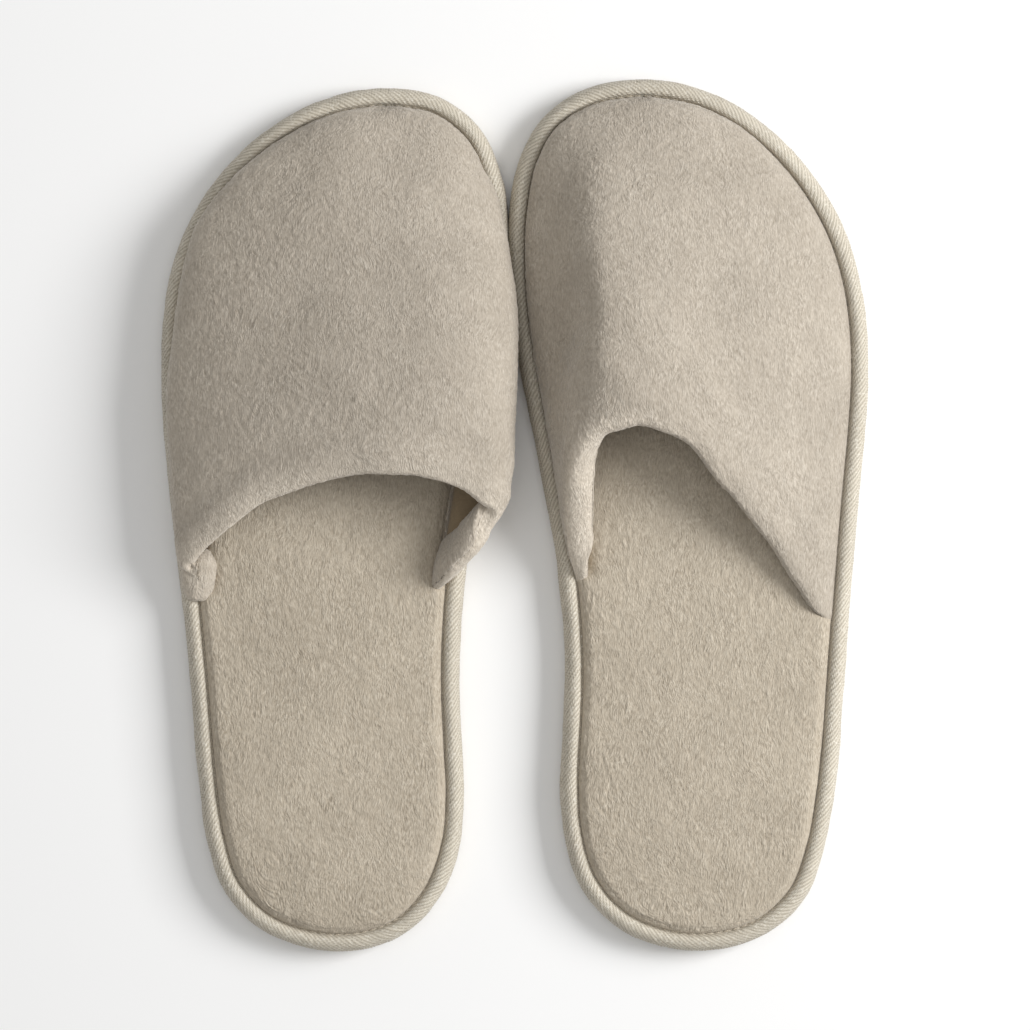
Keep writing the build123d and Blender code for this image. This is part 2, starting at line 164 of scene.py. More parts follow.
def piece(name, verts, faces, body, material, uv=None, smooth=True, tris=None):
    """A mesh object in metres from millimetre points."""
    me = bpy.data.meshes.new(name)
    verts = np.asarray(verts, float) * .001
    loops = np.concatenate([np.asarray(f).ravel() for f in faces]).astype(np.int32)
    sizes = np.concatenate([np.full(len(f), np.asarray(f).shape[1]) for f in faces]).astype(np.int32)
    me.vertices.add(len(verts))
    me.vertices.foreach_set("co", verts.ravel())
    me.loops.add(len(loops))
    me.loops.foreach_set("vertex_index", loops)
    me.polygons.add(len(sizes))
    me.polygons.foreach_set("loop_start", np.concatenate([[0], np.cumsum(sizes)[:-1]]).astype(np.int32))
    me.polygons.foreach_set("loop_total", sizes)
    if uv is not None:
        layer = me.uv_layers.new(name="UVMap")
        layer.data.foreach_set("uv", np.asarray(uv, np.float32)[loops].ravel())
    me.update(calc_edges=True)
    me.validate()
    if smooth:
        me.polygons.foreach_set("use_smooth", np.ones(len(me.polygons), bool))
    ob = bpy.data.objects.new(name, me)
    bpy.context.scene.collection.objects.link(ob)
    me.materials.append(material)
    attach(ob, body)
    return ob


def grid_normals(P):
    """Unit normals of a (rows, cols, 3) grid of points."""
    a = np.gradient(P, axis=0)
    b = np.gradient(P, axis=1)
    n = np.cross(a, b)
    k = np.linalg.norm(n, axis=2)
    bad = k < 1e-9
    n[~bad] /= k[~bad][:, None]
    n[bad] = (0, 0, 1)
    return n


# ----------------------------------------------------------------- materials
class Nodes:
    """A little help to write a node material."""

    def __init__(self, name):
        self.m = bpy.data.materials.new(name)
        self.m.use_nodes = True
        self.t = self.m.node_tree
        self.b = self.t.nodes["Principled BSDF"]
        self.coords = self.t.nodes.new("ShaderNodeTexCoord")

    def link(self, a, b):
        self.t.links.new(a, b)

    def node(self, kind, **kw):
        n = self.t.nodes.new(kind)
        for k, v in kw.items():
            setattr(n, k, v)
        return n

    def math(self, op, a, b=None, clamp=False):
        n = self.node("ShaderNodeMath", operation=op, use_clamp=clamp)
        for i, v in enumerate((a, b)):
            if v is None:
                continue
            if isinstance(v, (int, float)):
                n.inputs[i].default_value = v
            else:
                self.link(v, n.inputs[i])
        return n.outputs[0]

    def vmath(self, op, a, b=None, scale=None):
        n = self.node("ShaderNodeVectorMath", operation=op)
        for i, v in enumerate((a, b)):
            if v is None:
                continue
            if isinstance(v, tuple):
                n.inputs[i].default_value = v
            else:
                self.link(v, n.inputs[i])
        if scale is not None:
            if isinstance(scale, (int, float)):
                n.inputs["Scale"].default_value = scale
            else:
                self.link(scale, n.inputs["Scale"])
        return n.outputs[0]

    def noise(self, vec, scale, detail=2.0, rough=.5, color=False, distortion=0.0):
        n = self.node("ShaderNodeTexNoise")
        n.inputs["Scale"].default_value = scale
        n.inputs["Detail"].default_value = detail
        n.inputs["Roughness"].default_value = rough
        n.inputs["Distortion"].default_value = distortion
        self.link(vec, n.inputs["Vector"])
        return n.outputs["Color" if color else "Fac"]

    def ramp(self, fac, stops):
        n = self.node("ShaderNodeValToRGB")
        while len(n.color_ramp.elements) < len(stops):
            n.color_ramp.elements.new(.5)
        for e, (pos, col) in zip(n.color_ramp.elements, stops):
            e.position = pos
            e.color = (*col, 1)
        self.link(fac, n.inputs[0])
        return n.outputs[0]

    def mix(self, fac, a, b, blend="MIX"):
        n = self.node("ShaderNodeMix", data_type="RGBA", blend_type=blend)
        for socket, v in ((n.inputs[0], fac), (n.inputs[6], a), (n.inputs[7], b)):
            if isinstance(v, (int, float)):
                socket.default_value = v
            elif isinstance(v, tuple):
                socket.default_value = (*v, 1)
            else:
                self.link(v, socket)
        return n.outputs[2]

    def bump(self, height, strength, distance, normal=None):
        n = self.node("ShaderNodeBump")
        n.inputs["Strength"].default_value = strength
        n.inputs["Distance"].default_value = distance
        self.link(height, n.inputs["Height"])
        if normal is not None:
            self.link(normal, n.inputs["Normal"])
        return n.outputs[0]


def grey(v):
    return (v, v, v)


def plush(name, color, dark, light, sheen=.35):
    """Short dense pile: strands lie in patches, with fine light tips."""
    m = Nodes(name)
    co = m.coords.outputs["Object"]
    patch = m.noise(co, 60, 2, .5, color=True)
    warp = m.vmath("SCALE", m.vmath("SUBTRACT", patch, (.5, .5, .5)), scale=.007)
    q = m.vmath("ADD", co, warp)
    # two families of strands, leaning either way, chosen by patch
    rot_a = m.node("ShaderNodeMapping")
    rot_a.inputs["Rotation"].default_value = (0, 0, math.radians(35))
    rot_a.inputs["Scale"].default_value = (2500, 640, 1400)
    m.link(q, rot_a.inputs["Vector"])
    rot_b = m.node("ShaderNodeMapping")
    rot_b.inputs["Rotation"].default_value = (0, 0, math.radians(-25))
    rot_b.inputs["Scale"].default_value = (2350, 600, 1300)
    m.link(q, rot_b.inputs["Vector"])
    a = m.noise(rot_a.outputs[0], 1.0, 2, .55)
    b = m.noise(rot_b.outputs[0], 1.0, 2, .55)
    which = m.math("MULTIPLY", m.math("SUBTRACT", m.noise(co, 55, 2, .5), .42), 6, clamp=True)
    strand = m.math("ADD", m.math("MULTIPLY", a, which), m.math("MULTIPLY", b, m.math("SUBTRACT", 1, which)))
    clump = m.noise(q, 420, 2, .6)
    broad = m.noise(co, 38, 3, .55)
    height = m.math("ADD", strand, m.math("MULTIPLY", clump, .45))
    shade = m.math("ADD", m.math("MULTIPLY", strand, .82), m.math("MULTIPLY", clump, .18))
    col = m.ramp(shade, [(.32, dark), (.5, color), (.68, light)])
    tone = m.ramp(broad, [(.32, (.925, .92, .915)), (.68, (1.06, 1.06, 1.06))])
    # painted highlight: the base colour is lightened up to about 1.43 times by the painted_rim_highlight weight stored
    # on the mesh, standing in for the light the rolled rim catches
    rim = m.node("ShaderNodeAttribute", attribute_name="painted_rim_highlight")
    painted_rim_highlight = m.mix(rim.outputs["Fac"], (1, 1, 1), (1.42, 1.43, 1.44))
    m.link(m.mix(1.0, m.mix(1.0, col, tone, "MULTIPLY"), painted_rim_highlight, "MULTIPLY"), m.b.inputs["Base Color"])
    m.b.inputs["Roughness"].default_value = .95
    m.b.inputs["Specular IOR Level"].default_value = .12
    m.b.inputs["Sheen Weight"].default_value = sheen
    m.b.inputs["Sheen Roughness"].default_value = .45
    m.b.inputs["Sheen Tint"].default_value = (1, .97, .92, 1)
    m.link(m.bump(height, .55, .0009), m.b.inputs["Normal"])
    return m.m


def weave(name):
    """Ribbed tape: the ribs are in the mesh, this is their fine yarn."""
    m = Nodes(name)
    uv = m.coords.outputs["UV"]
    co = m.coords.outputs["Object"]
    sep = m.node("ShaderNodeSeparateXYZ")
    m.link(uv, sep.inputs[0])
    # u is the rib's number, v how far across the tape in millimetres
    u, v = sep.outputs[0], sep.outputs[1]
    rib = m.math("COSINE", m.math("MULTIPLY", u, 2 * math.pi))
    rib01 = m.math("ADD", m.math("MULTIPLY", rib, .5), .5)
    yarn = m.math("SINE", m.math("ADD", m.math("MULTIPLY", v, 2 * math.pi / .62), m.math("MULTIPLY", u, math.pi)))
    ply = m.math("SINE", m.math("SUBTRACT", m.math("MULTIPLY", u, 2 * math.pi * 4), m.math("MULTIPLY", v, 2 * math.pi / 1.1)))
    fuzz = m.noise(co, 1900, 2, .6)
    spark = m.noise(co, 2600, 1, .5)
    shade = m.math("ADD", m.math("MULTIPLY", rib01, .5), m.math("MULTIPLY", m.math("ADD", m.math("MULTIPLY", yarn, .5), .5), .24))
    shade = m.math("ADD", shade, m.math("MULTIPLY", fuzz, .34))
    col = m.ramp(shade, [(.12, (.345, .295, .22)), (.42, (.54, .485, .39)), (.72, (.66, .605, .505)), (.98, (.78, .73, .63))])
    dots = m.math("MULTIPLY", m.math("SUBTRACT", m.noise(co, 1250, 1, .5), .58), 9, clamp=True)
    col = m.mix(m.math("MULTIPLY", dots, .55), col, (.86, .82, .73))
    broad = m.noise(co, 45, 2, .5)
    tone = m.ramp(broad, [(.3, grey(.95)), (.7, grey(1.04))])
    m.link(m.mix(1.0, col, tone, "MULTIPLY"), m.b.inputs["Base Color"])
    rough = m.node("ShaderNodeMapRange")
    rough.inputs["From Min"].default_value = .45
    rough.inputs["From Max"].default_value = .7
    rough.inputs["To Min"].default_value = .62
    rough.inputs["To Max"].default_value = .34
    m.link(spark, rough.inputs["Value"])
    m.link(rough.outputs[0], m.b.inputs["Roughness"])
    m.b.inputs["Specular IOR Level"].default_value = .45
    m.b.inputs["Sheen Weight"].default_value = .12
    m.b.inputs["Sheen Roughness"].default_value = .4
    h = m.math("ADD", m.math("MULTIPLY", yarn, .5), m.math("MULTIPLY", ply, .35))
    h = m.math("ADD", h, m.math("MULTIPLY", fuzz, .8))
    m.link(m.bump(h, .5, .00022), m.b.inputs["Normal"])
    return m.m


def cloth(name, color, fine=1500, strength=.35, sheen=.15, variation=.12):
    m = Nodes(name)
    co = m.coords.outputs["Object"]
    a = m.noise(co, fine, 3, .6)
    b = m.noise(co, 70, 3, .5)
    lo = tuple(c * (1 - variation) for c in color)
    hi = tuple(c * (1 + variation) for c in color)
    s = m.math("ADD", m.math("MULTIPLY", a, .5), m.math("MULTIPLY", b, .5))
    m.link(m.ramp(s, [(.35, lo), (.65, hi)]), m.b.inputs["Base Color"])
    m.b.inputs["Roughness"].default_value = .9
    m.b.inputs["Specular IOR Level"].default_value = .2
    m.b.inputs["Sheen Weight"].default_value = sheen
    m.b.inputs["Sheen Roughness"].default_value = .5
    m.link(m.bump(a, strength, .0003), m.b.inputs["Normal"])
    return m.m


def thread(name, color):
    m = Nodes(name)
    co = m.coords.outputs["Object"]
    w = m.node("ShaderNodeTexWave", wave_type="BANDS", bands_direction="DIAGONAL")
    w.inputs["Scale"].default_value = 900
    w.inputs["Distortion"].default_value = 2
    m.link(co, w.inputs["Vector"])
    m.link(m.ramp(w.outputs["Fac"], [(.1, tuple(c * .7 for c in color)), (.7, tuple(min(1, c * 1.15) for c in color))]), m.b.inputs["Base Color"])
    m.b.inputs["Roughness"].default_value = .55
    m.b.inputs["Specular IOR Level"].default_value = .4
    m.link(m.bump(w.outputs["Fac"], .4, .0001), m.b.inputs["Normal"])
    return m.m


PLUSH = plush("plush_upper", (.447, .395, .328), (.353, .307, .249), (.557, .504, .43), sheen=.5)
PLUSH_SOLE = plush("plush_insole", (.492, .43, .342), (.385, .327, .252), (.61, .546, .448), sheen=.4)
WEAVE = weave("binding_weave")
LINING = cloth("lining_cloth", (.30, .228, .145), fine=1100, strength=.3, sheen=.2, variation=.1)
FOAM = cloth("padding_foam", (.72, .66, .56), fine=2500, strength=.6, sheen=0.0, variation=.08)
BOARD = cloth("backing_board", (.66, .63, .56), fine=900, strength=.4, sheen=.05, variation=.12)
RUBBER = cloth("outsole_foam", (.50, .45, .37), fine=1800, strength=.5, sheen=0.0, variation=.06)
THREAD = thread("sewing_thread", (.50, .44, .35))

# ---------------------------------------------------------------- the uppers
# Arches as (share of the width, share of the rise), from the left seam to the
# right one, at stations given by the y where the section meets the seam.
TOE_ARCH = [(0, 0), (-.004, .17), (.015, .34), (.055, .53), (.13, .7), (.22, .83), (.33, .93), (.44, .985), (.56, 1), (.67, .955), (.78, .85), (.87, .7), (.945, .52), (1.0, .28), (1, 0)]
UPPER = {
    "left": dict(
        corner=((-106.9, -24.9), (-22.8, -22.3)), toe=(-40.0, 133.3),
        # seam y, lean in degrees, rise over the tape
        table=[(-23.6, 42, 32.5), (-2, 46, 33), (22, 51, 31.5), (48, 57, 28.5), (72, 64, 24.5), (92, 71, 20.5), (107, 78, 16.5), (118, 84, 12.8), (125.5, 88, 9.6), (130.4, 90, 6.6), (133, 90, 3.9), (134.35, 90, .4)],
        keys=[
            (-23.6, [(0, 0), (-.06, .1), (-.06, .24), (.03, .43), (.19, .64), (.39, .82), (.6, .955), (.8, 1), (.965, .965), (1.1, .865), (1.19, .71), (1.225, .54), (1.19, .36), (1.1, .18), (1, 0)]),
            (20.0, [(0, 0), (-.052, .11), (-.05, .24), (.03, .4), (.15, .56), (.28, .7), (.42, .82), (.57, .915), (.72, .98), (.86, 1), (.99, .95), (1.1, .81), (1.15, .58), (1.12, .3), (1, 0)]),
            (60.0, [(0, 0), (-.04, .12), (-.035, .26), (.035, .41), (.14, .56), (.26, .69), (.4, .81), (.55, .905), (.69, .97), (.82, 1), (.94, .94), (1.03, .78), (1.07, .55), (1.06, .28), (1, 0)]),
            (100.0, [(0, 0), (-.02, .14), (-.01, .29), (.045, .46), (.13, .62), (.24, .76), (.36, .87), (.49, .945), (.62, .985), (.74, .97), (.85, .88), (.94, .72), (1.0, .5), (1.02, .26), (1, 0)]),
            (126.0, TOE_ARCH), (134.35, TOE_ARCH)],
    ),
    "right": dict(
        corner=((23.4, -19.0), (102.6, -32.2)), toe=(43.0, 136.4),
        table=[(-25.6, 35, 34), (-4, 40, 34), (22, 46, 31.5), (48, 53, 28), (72, 61, 24), (94, 69, 19.5), (110, 77, 15.8), (121, 84, 12.3), (128.5, 88, 9.2), (133.4, 90, 6.4), (136, 90, 3.9), (137.4, 90, .4)],
        keys=[
            (-25.6, [(0, 0), (-.03, .13), (-.045, .33), (-.03, .62), (.02, .85), (.11, .98), (.24, 1), (.37, .93), (.49, .79), (.61, .62), (.72, .46), (.82, .32), (.9, .2), (.965, .1), (1, 0)]),
            (10.0, [(0, 0), (-.03, .13), (-.03, .3), (.0, .46), (.045, .66), (.09, .86), (.145, .985), (.22, 1), (.34, .95), (.48, .83), (.6, .67), (.72, .5), (.83, .34), (.93, .17), (1, 0)]),
            (48.0, [(0, 0), (-.02, .13), (.01, .26), (.055, .35), (.09, .46), (.125, .65), (.16, .87), (.2, .99), (.27, .995), (.42, .905), (.56, .765), (.7, .6), (.83, .41), (.94, .2), (1, 0)]),
            (80.0, [(0, 0), (-.01, .14), (.02, .29), (.06, .41), (.1, .56), (.14, .75), (.18, .92), (.23, 1), (.33, .985), (.47, .905), (.6, .78), (.73, .62), (.85, .43), (.95, .22), (1, 0)]),
            (112.0, [(0, 0), (0, .16), (.02, .33), (.065, .5), (.12, .68), (.18, .84), (.245, .955), (.33, 1), (.46, .98), (.6, .91), (.71, .79), (.81, .63), (.905, .44), (.97, .22), (1, 0)]),
            (130.0, TOE_ARCH), (137.4, TOE_ARCH)],
    ),
}
ARCH_Z0, SEAM_WALL = 9.3, 5.75


def upper_grid(side, rows, cols, start=0.0):
    """The upper's outer face: (rows, cols, 3), row 0 at the toe seam and the
    last row at the mouth; columns run from the left seam to the right."""
    u = UPPER[side]
    table = np.array(u["table"])
    (ax, ay), (bx, by) = u["corner"]
    y0, y1 = table[0, 0], table[-1, 0]
    w = np.linspace(0, 1, rows)
    D = y1 - y0
    # closer together towards the toe, where the face turns down
    ys = y1 - .02 - (D - .02) * (.62 * w + .38 * w * w)
    key_y = np.array([k[0] for k in u["keys"]])
    key_p = np.array([k[1] for k in u["keys"]])
    out = np.zeros((rows, cols, 3))
    edge = outline(side, 2400, SEAM_WALL)[0]
    for r, y in enumerate(ys):
        share = (y - y0) / D
        s1 = min(max(share * 1.6, 0), 1)
        slope = (by - ay) / (bx - ax) * (1 - s1 * s1 * (3 - 2 * s1))
        s2 = min(max(share, 0), 1)
        s2 = s2 * s2 * (3 - 2 * s2)
        ox = (ax + bx) / 2 * (1 - s2) + u["toe"][0] * s2
        lean = math.radians(np.interp(y, table[:, 0], table[:, 1]))
        # rise with rounded steps between the stations, square-rooted at the toe
        q = np.sqrt(np.maximum(y1 - y, 0))
        tq = np.sqrt(np.maximum(y1 - table[:, 0], 0))[::-1]
        rise = np.interp(q, tq, table[:, 2][::-1])
        f = edge[:, 1] - y - slope * (edge[:, 0] - ox)
        g = np.roll(f, -1)
        hit = np.nonzero(f * g <= 0)[0]
        xs = edge[hit, 0] + (np.roll(edge, -1, 0)[hit, 0] - edge[hit, 0]) * f[hit] / (f[hit] - g[hit] + 1e-12)
        x0, x1 = xs.min(), xs.max()
        i = int(np.clip(np.searchsorted(key_y, y) - 1, 0, len(key_y) - 2))
        t = np.clip((y - key_y[i]) / (key_y[i + 1] - key_y[i]), 0, 1)
        t = t * t * (3 - 2 * t) * .5 + t * .5
        k = key_p[i] * (1 - t) + key_p[i + 1] * t
        pts = np.stack([x0 + (x1 - x0) * k[:, 0], ARCH_Z0 + rise * k[:, 1]], 1)
        pts = np.vstack([[x0, 7.6], [x0, 8.6], pts, [x1, 8.6], [x1, 7.6]])
        fine = catmull(pts, False, 14)
        s = length_along(fine)
        at = np.linspace(0, s[-1], cols)
        x, z = np.interp(at, s, fine[:, 0]), np.interp(at, s, fine[:, 1])
        h = z - 8.2
        out[r] = np.stack([x, y + slope * (x - ox) + h / math.tan(min(lean, math.radians(89.5))), z], 1)
    return out


def relax(P, times=1, rows_only=False):
    """Smooths a grid of points, keeping its borders."""
    for _ in range(times):
        Q = P.copy()
        Q[1:-1] = .5 * P[1:-1] + .25 * (P[:-2] + P[2:])
        if not rows_only:
            Q[:, 1:-1] = .5 * Q[:, 1:-1] + .25 * (Q[:, :-2] + Q[:, 2:])
        P = Q
    return P


def follow_contour(P, targets, right):
    """Moves the grid sideways so that its outermost x in plan at each y is
    the given one. targets: [(y, x)] from the mouth to the toe."""
    t = np.array(sorted(targets))
    for _ in range(3):
        flat = P.reshape(-1, 3)
        ys = np.arange(t[0, 0], t[-1, 0] + .1, 2.0)
        now = []
        for y in ys:
            near = np.abs(flat[:, 1] - y) < 1.6
            sel = flat[near]
            now.append((sel[:, 0].max() if right else sel[:, 0].min()) if len(sel) else np.nan)
        now = np.array(now)
        ok = ~np.isnan(now)
        want = np.interp(ys, t[:, 0], t[:, 1])
        delta = np.where(ok, want - now, 0)
        delta = np.convolve(np.pad(delta, 3, mode="edge"), np.ones(7) / 7, "valid")
        delta *= np.clip((t[-1, 0] - ys) / 42, 0, 1)      # fades out towards the toe
        d = np.interp(P[..., 1], ys, delta, left=0, right=0)
        c = np.linspace(0, 1, P.shape[1])[None, :]
        near = np.clip((c if right else 1 - c) * 3.2 - 2.2, 0, 1)   # this flank only
        off = np.clip((P[..., 2] - 9.2) / 3.5, 0, 1)                 # never at the seam
        P = P.copy()
        P[..., 0] += d * near * near * (3 - 2 * near) * off * off * (3 - 2 * off)
    return P


def px(u, v):
    """From the design's plan grid of 0.33 mm to millimetres."""
    return ((u - 514) * .33, (514.5 - v) * .33)


CONTOUR = {
    "left": [
        (True, [(500, 170), (505, 190), (510, 230), (514, 270), (517, 310), (519, 350), (518, 390), (517, 410), (515, 430), (514, 460), (513, 490), (508, 510), (498, 530)]),
        (False, [(205, 230), (189, 270), (180, 310), (173, 350), (169, 380), (168, 410), (169.5, 440), (171, 470), (172.5, 500), (175, 535), (178, 570)]),
    ],
    "right": [],
}


# the rim's line in plan, the lower edge of the roll, by x
RIM = {
    "left": [px(*q) for q in [(186, 575), (201, 553), (220, 537), (242, 520), (267, 502), (303, 489), (339, 479), (364, 474.5), (415, 476), (446, 483), (466, 492), (487, 510)]],
    "right": [px(*q) for q in [(600, 428), (613, 421), (633, 424.5), (652, 430), (676, 440), (691, 451), (704, 470), (715, 484), (733, 501.5), (769.5, 540.5), (791, 571), (819, 609)]],
}
# how thick the rolled rim is, by share of the way from the left seam
ROLL = {
    "left": ([0, .1, .55, .7, .8, .9, 1], [6.0, 6.4, 6.4, 6.2, 7.0, 9.0, 9.0]),
    "right": ([0, .12, .28, .38, .5, .62, 1], [9.5, 10.5, 10.5, 8.0, 5.0, 4.2, 4.2]),
}


def mouth_frame(P, N):
    """Directions along the face past the mouth, and out of it, per column."""
    k = 9 if P.shape[1] > 200 else 5
    box = np.ones(k) / k

    def ease(v):
        v = np.stack([np.convolve(np.pad(v[:, c], k // 2, mode="edge"), box, "valid") for c in range(3)], 1)
        return v / np.linalg.norm(v, axis=1)[:, None]
    n = ease(N[-1])
    t = P[-1] - P[-4]
    t = t - n * np.sum(t * n, axis=1)[:, None]
    return ease(t / np.linalg.norm(t, axis=1)[:, None]), n


def fit_mouth(P, side):
    """Slides the mouth along the foot until its edge in plan follows RIM."""
    cols = P.shape[1]
    target = np.array(RIM[side])
    c = np.linspace(0, 1, cols)
    roll = np.interp(c, *ROLL[side])
    for _ in range(4):
        N = grid_normals(P)
        if N[P.shape[0] // 2, cols // 2, 2] < 0:
            N = -N
        t, n = mouth_frame(P, N)
        edge = P[-1] + t * (roll * .18)[:, None] - n * (roll * .6)[:, None]
        want = np.interp(edge[:, 0], target[:, 0], target[:, 1])
        dy = np.clip(want - edge[:, 1], -9, 9)
        span = (edge[:, 0] > target[0, 0]) & (edge[:, 0] < target[-1, 0]) & (n[:, 2] > .15)
        dy = np.where(span, dy, 0) * np.clip(c * 14 - .3, 0, 1) * np.clip((1 - c) * 14 - .3, 0, 1)
        if side == "right":       # the steep inner wall stays where it is
            crest = c[int(np.argmax(P[-1, :, 2]))]
            dy = dy * np.clip((c - crest + .01) / .07, 0, 1)
        k = cols // 20 * 2 + 1
        dy = np.convolve(np.pad(dy, k // 2, mode="edge"), np.hanning(k + 2)[1:-1] / np.hanning(k + 2).sum(), "valid")
        run = np.linalg.norm(np.diff(P, axis=0), axis=2)
        far = np.vstack([np.cumsum(run[::-1], axis=0)[::-1], np.zeros((1, cols))])
        w = np.clip(1 - far / 62, 0, 1)
        P = P.copy()
        P[..., 1] += dy[None, :] * w * w * (3 - 2 * w)
    return P


def build_upper(side):
    rows, cols = ((330, 300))
    P = upper_grid(side, rows, cols)
    P = relax(P, 10 if rows > 200 else 4)
    for right, pts in CONTOUR[side]:
        P = follow_contour(P, [(px(*p)[1], px(*p)[0]) for p in pts], right)
    P = fit_mouth(P, side)
    # the rim's ends reach a little further towards the heel
    share = np.linspace(0, 1, cols)
    ends = {"left": ([0, .1, .84, .93, 1], [0, 0, 0, -2.6, -3.0]), "right": ([0, .1, .22, .34, .68, .82, .92, 1], [-3.4, -3.2, -1.4, 0, 0, -2.2, -4.0, -4.2])}[side]
    run = np.linalg.norm(np.diff(P, axis=0), axis=2)
    far = np.vstack([np.cumsum(run[::-1], axis=0)[::-1], np.zeros((1, cols))])
    w = np.clip(1 - far / 50, 0, 1)
    low = P[..., 1] + np.interp(share, *ends)[None, :] * w * w * (3 - 2 * w)
    if side == "right":
        P = P.copy()
        P[..., 0] -= (np.interp(share, [0, .06, .2, .34], [.8, 2.0, 2.4, 0]))[None, :] * w * w
    P[..., 1] = low
    # slack folds and hand marks
    flat = P.reshape(-1, 3)
    k = 1 if side == "left" else 2
    c = np.linspace(0, 1, cols)[None, :].repeat(rows, 0)
    r = np.linspace(0, 1, rows)[:, None].repeat(cols, 1)
    hold = np.clip(np.minimum(c, 1 - c) * 9, 0, 1) * np.clip(r * 9, 0, 1)
    soft = fractal(flat / np.array([34, 52, 40]) + 5 * k, 2, 10 + k).reshape(rows, cols)
    N = grid_normals(P)
    if np.mean(N[rows // 2, cols // 2]) < 0 or N[rows // 2, cols // 2, 2] < 0:
        N = -N
    P = P + N * (soft * 1.1 * hold)[..., None]
    P = relax(P, 3)
    N = grid_normals(P)
    if N[rows // 2, cols // 2, 2] < 0:
        N = -N
    return P, N, hold


def pinch(cols):
    c = np.linspace(0, 1, cols)
    e = np.clip((np.minimum(c, 1 - c) - .03) / .12, 0, 1)
    return .42 + .58 * e * e * (3 - 2 * e)


def closed_sheet(name, loops, body, material, uv=None):
    """A closed solid from a ring of rows of points (each row the same
    length), capped at both ends of the rows."""
    L = np.array(loops)
    n, m = L.shape[:2]
    faces = [grid_faces(n, m, wrap_rows=True)]
    caps = [np.arange(n) * m, (np.arange(n) * m + m - 1)[::-1]]
    verts = L.reshape(-1, 3)
    # each cap is a strip between the two halves of its ring
    strips = []
    for cap in caps:
        a, b = 0, n - 1
        while b - a > 1:
            if b - a > 2:
                strips.append((cap[a], cap[a + 1], cap[b - 1], cap[b]))
                a, b = a + 1, b - 1
            else:
                strips.append((cap[a], cap[a + 1], cap[b], cap[b]))
                break
    quads = np.array([s for s in strips if s[2] != s[3]])
    tris = np.array([s[:3] for s in strips if s[2] == s[3]])
    if len(quads):
        faces.append(quads)
    if len(tris):
        faces.append(tris)
    ob = piece(name, verts, faces, body, material, uv)
    return ob


def add_tuck(ob, at, radii, turn, seed):
    """The soft turned-in end of the rim: a closed plush lobe joined to ob."""
    import bmesh
    rows, cols = ((70, 110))
    th = np.linspace(0, math.pi, rows + 2)[1:-1]
    ph = np.linspace(0, 2 * math.pi, cols, endpoint=False)
    TH, PH = np.meshgrid(th, ph, indexing="ij")
    u = np.stack([np.sin(TH) * np.cos(PH), np.sin(TH) * np.sin(PH), np.cos(TH)], -1)
    q = u * (1 + .07 * fractal(u.reshape(-1, 3) * 1.6 + 4, 2, seed).reshape(rows, cols))[..., None]
    a = math.radians(turn)
    q = q * np.array(radii)
    q = np.stack([q[..., 0] * math.cos(a) - q[..., 1] * math.sin(a), q[..., 0] * math.sin(a) + q[..., 1] * math.cos(a), q[..., 2]], -1) + np.array(at)
    q = q + u * (.28 * tufts(q.reshape(-1, 3), seed + 1).reshape(rows, cols))[..., None]
    q[..., 2] = np.maximum(q[..., 2], 9.2)
    verts = [tuple(v) for v in (q.reshape(-1, 3) * .001)]
    top = tuple(np.array((at[0], at[1], at[2] + radii[2])) * .001)
    low = tuple(np.array((at[0], at[1], 9.2)) * .001)
    bm = bmesh.new()
    bm.from_mesh(ob.data)
    # painted highlight: every vertex of the lobe gets a fixed share of the painted rim highlight
    layer = bm.verts.layers.float.get("painted_rim_highlight")
    vs = [bm.verts.new(v) for v in verts]
    for v in vs:
        v[layer] = .35
    vt, vl = bm.verts.new(top), bm.verts.new(low)
    made = []
    for r in range(rows - 1):
        for c in range(cols):
            d = (c + 1) % cols
            made.append(bm.faces.new((vs[r * cols + c], vs[(r + 1) * cols + c], vs[(r + 1) * cols + d], vs[r * cols + d])))
    for c in range(cols):
        d = (c + 1) % cols
        made.append(bm.faces.new((vt, vs[c], vs[d])))
        made.append(bm.faces.new((vl, vs[(rows - 1) * cols + d], vs[(rows - 1) * cols + c])))
    for f in made:
        f.smooth = True
    bmesh.ops.recalc_face_normals(bm, faces=made)
    bm.to_mesh(ob.data)
    bm.free()


def outward(ob):
    """Makes every face look outwards."""
    import bmesh
    bm = bmesh.new()
    bm.from_mesh(ob.data)
    bmesh.ops.recalc_face_normals(bm, faces=bm.faces)
    bm.to_mesh(ob.data)
    bm.free()
    return ob


